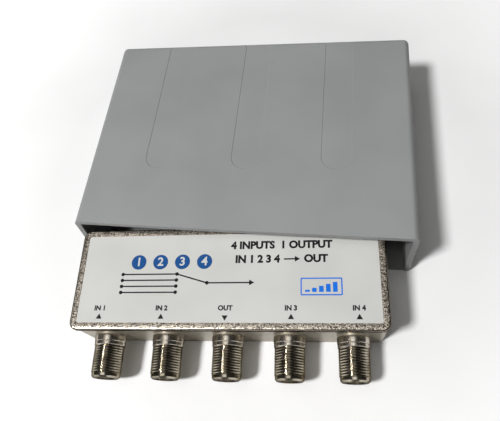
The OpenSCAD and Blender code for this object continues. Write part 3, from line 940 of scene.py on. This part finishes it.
def label_film_finish():
    material, place = blank_finish("label_film")
    fine = grain(place, FILM_GRAIN)
    clouds = step(grain(place, FILM_CLOUDS), *NARROW_RANGE)
    return set_finish(
        material,
        base_color=two_tone(clouds, FILM_DARK, FILM_LIGHT),
        roughness=FILM_ROUGH + fine * FILM_UNEVEN,
        normal=relief(fine, *FILM_RELIEF),
    )


label_film = label_film_finish()
label_bm = bmesh.new()
seat_z = CASE_THICK - SEAT_DEPTH
label_top = seat_z + LABEL_THICK
label_low = (-CASE_WIDTH / 2 + RIM_WIDTH, RIM_WIDTH, seat_z)
block(label_bm, label_low, (CASE_WIDTH / 2 - RIM_WIDTH, CASE_LENGTH - RIM_WIDTH, label_top))
label_corners = [e for e in label_bm.edges if along(e, Z_AXIS)]
round_off(label_bm, label_corners, LABEL_CORNER_R, LABEL_CORNER_STEPS)
round_off(label_bm, furthest_face(label_bm, Z_AXIS, UP).edges, LABEL_EASE, LABEL_EASE_STEPS)
bmesh.ops.transform(label_bm, matrix=case_place, verts=label_bm.verts)
label = make_piece("front_film", label_bm, "switch", "label_film", label_film)
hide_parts("front_label")

# %% [markdown]
# ## Print on the label
# The label says in plain words and signs what goes where: a number and an arrow at each input, a word at
# the output, a small diagram of four lines that meet in one, numbered badges in blue and a level box in
# a brighter blue. Ink has a thickness too, here a hundredth of a millimetre.

# %% Ink
INK_THICK = 0.01 * MM
INK_LIFT = 0.002 * MM
INK_Z = label_top + INK_LIFT
INK_GRAIN = 0.2 * MM
INK_GLOSS = 0.25
INK_ROUGH = 0.5
INK_UNEVEN = 0.16
BLACK_INK = (tone(14, 14, 17), tone(26, 26, 28))
BLUE_INK = (tone(8, 74, 138), tone(14, 84, 150))
BRIGHT_INK = (tone(4, 110, 224), tone(10, 120, 234))
WHITE_INK = (tone(206, 208, 208), tone(216, 217, 216))


def ink_finish(name, tones):
    material, place = blank_finish(name)
    speckle = grain(place, INK_GRAIN, FINE_DETAIL)
    return set_finish(
        material,
        base_color=two_tone(step(speckle, *NARROW_RANGE), *tones),
        specular_ior_level=INK_GLOSS,
        roughness=INK_ROUGH + speckle * INK_UNEVEN,
    )


inks = {
    "black": ink_finish("black_ink", BLACK_INK),
    "blue": ink_finish("blue_ink", BLUE_INK),
    "bright_blue": ink_finish("bright_blue_ink", BRIGHT_INK),
    "white": ink_finish("white_ink", WHITE_INK),
}
prints = {colour: bmesh.new() for colour in inks}
print("inks", list(inks))

# %% [markdown]
# Print could be a picture on the film, but a picture turns coarse close up. So every sign is a thin solid
# of ink. These helpers draw bars, lines and discs in the label's own millimetres.

# %% Bars, lines and discs
DISC_SIDES = 24
ink_middle = INK_Z + INK_THICK / 2


def ink_bar(colour, low, high):
    """A printed block between two corners of the label, in millimetres."""
    low_corner = (low[0] * MM, low[1] * MM, INK_Z)
    block(prints[colour], low_corner, (high[0] * MM, high[1] * MM, INK_Z + INK_THICK))


def ink_line(colour, start, end, width):
    """A printed straight line of that width, in millimetres."""
    start = Vector((*start, 0)) * MM
    end = Vector((*end, 0)) * MM
    way = end - start
    verts = bmesh.ops.create_cube(prints[colour], size=1.0)["verts"]
    bmesh.ops.scale(prints[colour], vec=(way.length, width * MM, INK_THICK), verts=verts)
    turn = Matrix.Rotation(math.atan2(way.y, way.x), 4, "Z")
    centre = (start + end) / 2 + Vector((0, 0, ink_middle))
    bmesh.ops.transform(prints[colour], matrix=Matrix.Translation(centre) @ turn, verts=verts)


def ink_disc(colour, middle, radius, sides=DISC_SIDES, turn=0.0):
    """A printed disc, or a triangle where it has three sides."""
    centre = Matrix.Translation((middle[0] * MM, middle[1] * MM, ink_middle))
    bmesh.ops.create_cone(
        prints[colour], cap_ends=True, segments=sides, radius1=radius * MM, radius2=radius * MM,
        depth=INK_THICK, matrix=centre @ Matrix.Rotation(turn, 4, "Z"),
    )


print("ink starts", round((INK_Z - label_top) / MM, 3), "mm above the film")

# %% [markdown]
# Words start as text curves in Blender's own font, a little thickened where the print is bold. Each curve
# becomes a mesh before it is put in place, and joins the other signs of its colour. Words that are printed
# on another colour lie a layer higher.

# %% Words
CAPITAL_SHARE = 0.73
WORD_ROUNDNESS = 3
LAYER_RISE = 1.5 * INK_THICK


def ink_words(colour, words, middle, height, weight, layer=0):
    """Printed words, centred, with capitals of that height in millimetres."""
    text = bpy.data.curves.new("words", "FONT")
    text.body = words
    text.align_x = "CENTER"
    text.align_y = "CENTER"
    text.size = height / CAPITAL_SHARE * MM
    text.offset = weight * MM
    text.extrude = INK_THICK / 2
    text.resolution_u = WORD_ROUNDNESS
    holder = bpy.data.objects.new("words", text)
    bpy.context.scene.collection.objects.link(holder)
    graph = bpy.context.evaluated_depsgraph_get()
    mesh = bpy.data.meshes.new_from_object(holder.evaluated_get(graph))
    floor = INK_Z + layer * LAYER_RISE + INK_THICK / 2
    mesh.transform(Matrix.Translation((middle[0] * MM, middle[1] * MM, floor)))
    prints[colour].from_mesh(mesh)
    bpy.data.objects.remove(holder)
    bpy.data.curves.remove(text)
    bpy.data.meshes.remove(mesh)


print("capitals fill", CAPITAL_SHARE, "of the font's size")

# %% [markdown]
# A sign stands next to each port: a small arrow, which points into the case at an input and out of it at
# the output, and a word. The arrow is a disc with three sides.

# %% Port signs
SIGN_PITCH = 20.2
SIGN_SHIFT = 0.3
ARROW_Y = 4.0
ARROW_R = 1.1
WORD_Y = 6.8
WORD_HEIGHT = 1.55
WORD_WEIGHT = 0.1
ARROW_SIDES = 3
PORT_WORDS = ("IN 1", "IN 2", "OUT", "IN 3", "IN 4")
UPWARDS = math.pi / 2
for number, words in enumerate(PORT_WORDS):
    sign_x = (number - MIDDLE_PORT) * SIGN_PITCH + SIGN_SHIFT
    arrow_turn = -UPWARDS if words == "OUT" else UPWARDS
    ink_disc("black", (sign_x, ARROW_Y), ARROW_R, ARROW_SIDES, arrow_turn - UPWARDS)
    ink_words("black", words, (sign_x, WORD_Y), WORD_HEIGHT, WORD_WEIGHT)
print("port signs", PORT_WORDS)

# %% [markdown]
# The diagram tells what the switch does: four lines come in, and a lever joins one of them to the way
# out. It is drawn from lines and dots, like a plan.

# %% Diagram
LINE = 0.45
DIAGRAM_LEFT = -34.0
DIAGRAM_RIGHT = 8.0
DIAGRAM_ROWS = (17.9, 15.9, 13.9, 11.9)
SWITCH_X = -16.0
JOIN_X = -6.0
JOIN_Y = sum(DIAGRAM_ROWS) / len(DIAGRAM_ROWS)
DOT_R = 0.6
HEAD_R = 1.08
for row in DIAGRAM_ROWS:
    ink_line("black", (DIAGRAM_LEFT, row), (SWITCH_X, row), LINE)
    ink_disc("black", (DIAGRAM_LEFT, row), DOT_R)
    ink_disc("black", (SWITCH_X, row), DOT_R)
ink_line("black", (SWITCH_X, DIAGRAM_ROWS[0]), (JOIN_X, JOIN_Y), LINE)
ink_line("black", (JOIN_X, JOIN_Y), (DIAGRAM_RIGHT, JOIN_Y), LINE)
ink_disc("black", (JOIN_X, JOIN_Y), DOT_R)
ink_disc("black", (DIAGRAM_RIGHT, JOIN_Y), HEAD_R, ARROW_SIDES, -UPWARDS)
print("diagram rows", len(DIAGRAM_ROWS))

# %% [markdown]
# The badges above the diagram number the inputs. Each one is a disc of blue ink, and its digit is white
# ink on top of it, in the second layer.

# %% Numbered badges
BADGES = len(DIAGRAM_ROWS)
BADGE_R = 2.5
BADGE_Y = 22.0
BADGE_X = -18.2
BADGE_PITCH = 7.3
BADGE_SIDES = 48
DIGIT_HEIGHT = 2.9
DIGIT_WEIGHT = 0.1
for number in range(BADGES):
    badge_x = BADGE_X + (number - (BADGES - 1) / 2) * BADGE_PITCH
    ink_disc("blue", (badge_x, BADGE_Y), BADGE_R, BADGE_SIDES)
    ink_words("white", str(number + 1), (badge_x, BADGE_Y), DIGIT_HEIGHT, DIGIT_WEIGHT, layer=1)
print("badges", BADGES)

# %% [markdown]
# Two lines of heavier words say how many ways in and out there are. The arrow in the second line is drawn
# from a line and a disc with three sides, because fonts differ in their arrows.

# %% Title
TITLE_X = 17.3
TITLE_HEIGHT = 2.5
TITLE_WEIGHT = 0.17
TITLE_Y = 27.2
ROUTE_Y = 22.5
ROUTE_START = 18.2
ROUTE_END = 21.8
ROUTE_TIP = 22.2
ink_words("black", "4 INPUTS  1 OUTPUT", (TITLE_X, TITLE_Y), TITLE_HEIGHT, TITLE_WEIGHT)
ink_words("black", "IN 1 2 3 4        OUT", (TITLE_X, ROUTE_Y), TITLE_HEIGHT, TITLE_WEIGHT)
ink_line("black", (ROUTE_START, ROUTE_Y), (ROUTE_END, ROUTE_Y), LINE)
ink_disc("black", (ROUTE_TIP, ROUTE_Y), HEAD_R, ARROW_SIDES, -UPWARDS)
print("title lines at", TITLE_Y, ROUTE_Y, "mm")

# %% [markdown]
# The level box beside the diagram holds five rising bars, a sign for the strength of a signal. Its frame
# is four lines from corner to corner.

# %% Level box
BOX_LEFT, BOX_RIGHT = 23.6, 35.9
BOX_BOTTOM, BOX_TOP = 10.9, 16.1
BOX_LINE = 0.4
corners = [(BOX_LEFT, BOX_BOTTOM), (BOX_RIGHT, BOX_BOTTOM), (BOX_RIGHT, BOX_TOP), (BOX_LEFT, BOX_TOP)]
for start, end in zip(corners, corners[1:] + corners[:1]):
    ink_line("bright_blue", start, end, BOX_LINE)
LEVELS = 5
LEVEL_WIDTH = 1.4
LEVEL_PITCH = 2.1
LEVEL_START = BOX_LEFT + 1.2
LEVEL_FOOT = BOX_BOTTOM + 0.9
LEVEL_LOWEST = BOX_BOTTOM + 1.6
LEVEL_RISE = 0.6
for number in range(LEVELS):
    bar_x = LEVEL_START + number * LEVEL_PITCH
    bar_top = LEVEL_LOWEST + number * LEVEL_RISE
    ink_bar("bright_blue", (bar_x, LEVEL_FOOT), (bar_x + LEVEL_WIDTH, bar_top))
print("level bars", LEVELS)

# %% [markdown]
# All signs of one colour form one piece, as each colour is one pass through a press. They were drawn flat
# and square, and are turned to the slant of the case only now, together.

# %% Print pieces
for colour, bm in prints.items():
    bmesh.ops.remove_doubles(bm, verts=bm.verts, dist=MERGE_GAP)
    bmesh.ops.recalc_face_normals(bm, faces=bm.faces)
    bmesh.ops.transform(bm, matrix=case_place, verts=bm.verts)
    make_piece("label_print_" + colour, bm, "switch", "label_film", inks[colour])

# %% [markdown]
# ## Finishes of the CAD parts that stay
# The insulators, contacts, back plate and everything on the circuit board keep their CAD shapes, and only
# need finishes. Each one gets a tone in two shades and a grain of the right size for its stuff.

# %% Finishes of the inner parts
PLAIN_ROUGH = 0.4
SPECKLE_UNEVEN = 0.15
SPECKLE_RELIEF = (0.1, 0.02 * MM)


def speckled_finish(name, dark, light, size, metal=0.0, rough=PLAIN_ROUGH):
    """A plain stuff in two shades, with a grain of that size in millimetres."""
    material, place = blank_finish(name)
    speckle = grain(place, size * MM, FINE_DETAIL)
    return set_finish(
        material,
        base_color=two_tone(step(speckle, *WIDE_RANGE), tone(*dark), tone(*light)),
        metallic=metal,
        roughness=rough + speckle * SPECKLE_UNEVEN,
        normal=relief(speckle, *SPECKLE_RELIEF),
    )


stuffs = {
    "insulator": speckled_finish("insulator_plastic", (214, 210, 196), (228, 225, 213), size=0.5),
    "contact": speckled_finish(
        "contact_gold", (176, 136, 70), (206, 168, 98), size=0.4, metal=1.0, rough=0.2,
    ),
    "choke": speckled_finish("ferrite", (40, 40, 43), (62, 61, 62), size=0.3, rough=0.55),
    "plate": speckled_finish(
        "plate_steel", (150, 150, 146), (180, 180, 175), size=1.2, metal=1.0, rough=0.3,
    ),
    "board": speckled_finish("board_laminate", (22, 74, 46), (34, 96, 60), size=0.6),
    "screws": speckled_finish(
        "screw_steel", (140, 140, 138), (176, 176, 172), size=0.5, metal=1.0, rough=0.25,
    ),
    "can": speckled_finish("can_metal", (160, 162, 164), (192, 193, 194), size=0.7, metal=1.0, rough=0.3),
    "ceramic": speckled_finish("chip_ceramic", (150, 126, 96), (178, 152, 120), size=0.3),
    "black": speckled_finish("chip_epoxy", (26, 26, 28), (44, 44, 46), size=0.3, rough=0.5),
}
STUFF_OF = {
    "back_plate": "plate", "circuit_board": "board", "board_screws": "screws", "clock_crystal": "can",
    "smoothing_capacitor": "can", "chip_capacitors": "ceramic",
}
for name, node in frame["nodes"].items():
    ending = name.split("_")[-1]
    kind = STUFF_OF.get(name) or (ending if ending in stuffs else "black")
    if not node.hide_render:
        for material_slot in node.material_slots:
            material_slot.material = stuffs[kind]
print("finishes for CAD parts", len(stuffs))

# %% [markdown]
# ## Floor and light
# The object lies on a white table. A plain white floor would throw too much light back at the object. So
# rays that look at the table, straight or in a mirror, see it white, while its bounce stays darker. A faint
# glow that only those rays see grows away from the object, so that the background is white and the shadow
# stays.

# %% Floor
FLOOR_R = 3.0
FLOOR_STEPS = 96
FLOOR_ROUGH = 0.9
PAPER_CLOUDS = 40 * MM
FLOOR_DARK = tone(250, 250, 250)
FLOOR_LIGHT = tone(254, 254, 254)
FLOOR_BOUNCE = tone(150, 150, 146)
FLOOR_UNLIT = (0.0, 0.0, 0.0, 1.0)
FLOOR_GLOW = (0.2, 0.2, 0.2, 1.0)
GLOW_START = 85 * MM
GLOW_END = 140 * MM
NEAR_GLOW = 0.1
SEEN_RAYS = ("Is Camera Ray", "Is Glossy Ray", "Is Transmission Ray")
floor_bm = bmesh.new()
bmesh.ops.create_circle(floor_bm, cap_ends=True, segments=FLOOR_STEPS, radius=FLOOR_R)
floor_mesh = bpy.data.meshes.new("floor")
floor_bm.to_mesh(floor_mesh)
floor_bm.free()
floor = bpy.data.objects.new("floor", floor_mesh)
bpy.context.scene.collection.objects.link(floor)
floor_paper, floor_place = blank_finish("floor_paper")
paper_clouds = step(grain(floor_place, PAPER_CLOUDS), *NARROW_RANGE)
ray = floor_place.tree.nodes.new("ShaderNodeLightPath")
seen_rays = [Wire(floor_place.tree, ray.outputs[kind]) for kind in SEEN_RAYS]
seen = step(seen_rays[0] + seen_rays[1] + seen_rays[2], 0.0, 1.0)
as_length = {"operation": "LENGTH"}
distance = floor_place.node("ShaderNodeVectorMath", as_length, {0: floor_place}, out="Value")
share = step(distance, GLOW_START, GLOW_END, NEAR_GLOW, 1.0)
set_finish(
    floor_paper,
    base_color=two_tone(seen, FLOOR_BOUNCE, two_tone(paper_clouds, FLOOR_DARK, FLOOR_LIGHT)),
    roughness=FLOOR_ROUGH,
    emission_color=two_tone(seen * share, FLOOR_UNLIT, FLOOR_GLOW),
    emission_strength=1.0,
)
floor_mesh.materials.append(floor_paper)
print("floor radius", FLOOR_R, "m")

# %% [markdown]
# The light is one soft lamp, which stands to the left and towards the viewer. It is a disc, so its shadow
# has a soft edge, and round metal shows it as a short bright line. Its power grows with the square of its
# distance, so it can be moved and keep its level, at which a white card comes out just about white. The
# room is dim, apart from a bright patch almost overhead, which the metal mirrors as a soft band.

# %% Lamp and room
LAMP_WAY = Vector((-0.43, -0.46, 1.0))
LAMP_HEIGHT = 0.95
LAMP_SIZE = 0.18
LAMP_LEVEL = 0.86
lamp_at = LAMP_WAY * LAMP_HEIGHT
lamp_data = bpy.data.lights.new("soft_lamp", "AREA")
lamp_data.shape = "DISK"
lamp_data.size = LAMP_SIZE
lamp_data.energy = LAMP_LEVEL * math.pi ** 2 * lamp_at.length_squared
lamp = bpy.data.objects.new("soft_lamp", lamp_data)
lamp_turn = lamp_at.to_track_quat("Z", "Y").to_matrix().to_4x4()
lamp.matrix_world = Matrix.Translation(lamp_at) @ lamp_turn
bpy.context.scene.collection.objects.link(lamp)
ROOM_DIM = (0.045, 0.045, 0.045, 1.0)
ROOM_BRIGHT = (1.35, 1.35, 1.31, 1.0)
WINDOW_WAY = Vector((-0.12, -0.06, 0.99)).normalized()
WINDOW_START = 0.93
WINDOW_FULL = 0.985
world = bpy.data.worlds.new("room")
world.use_nodes = True
bpy.context.scene.world = world
sky = world.node_tree.nodes.new("ShaderNodeTexCoord")
sky_way = Wire(world.node_tree, sky.outputs["Generated"])
towards = distance_along(sky_way, WINDOW_WAY)
room_light = two_tone(step(towards, WINDOW_START, WINDOW_FULL), ROOM_DIM, ROOM_BRIGHT)
background = world.node_tree.nodes["Background"]
world.node_tree.links.new(room_light.socket, background.inputs["Color"])
print("lamp power", round(lamp_data.energy, 2), "W")
